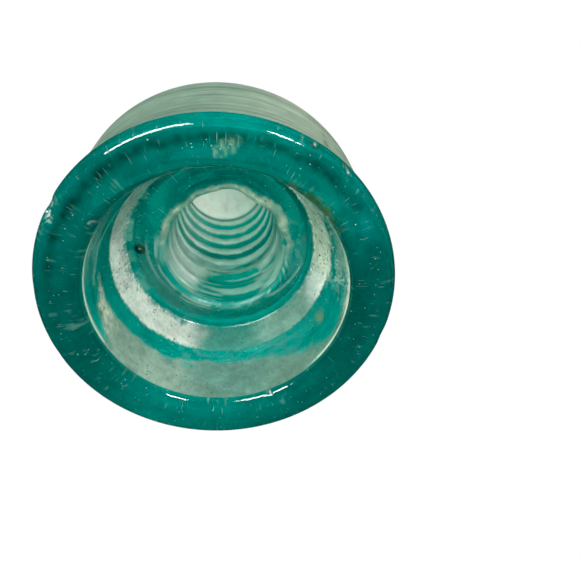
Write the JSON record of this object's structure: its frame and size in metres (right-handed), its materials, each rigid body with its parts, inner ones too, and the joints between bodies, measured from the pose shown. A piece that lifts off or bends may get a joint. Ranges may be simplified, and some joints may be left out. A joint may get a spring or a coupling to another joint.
{
  "type": "glass pin insulator",
  "caption": "Pin-type pressed glass line insulator with a domed crown, a wire groove, a wide skirt with a stepped hollow, and a threaded blind pin hole.",
  "frame": {"origin": "centre of the flat ring of the rim, on the plane that the insulator stands on", "axes": "+Z along the pin hole's axis, from the rim to the crown; +X and +Y are any two square directions across it"},
  "size_m": [0.0758, 0.0758, 0.089],
  "materials": {
    "glass": "aqua-green pressed soda-lime glass, fire-polished, with fine wear scratches, small chips and seed bubbles"
  },
  "bodies": {
    "root": {"glass_body": "glass"}
  },
  "joints": []
}
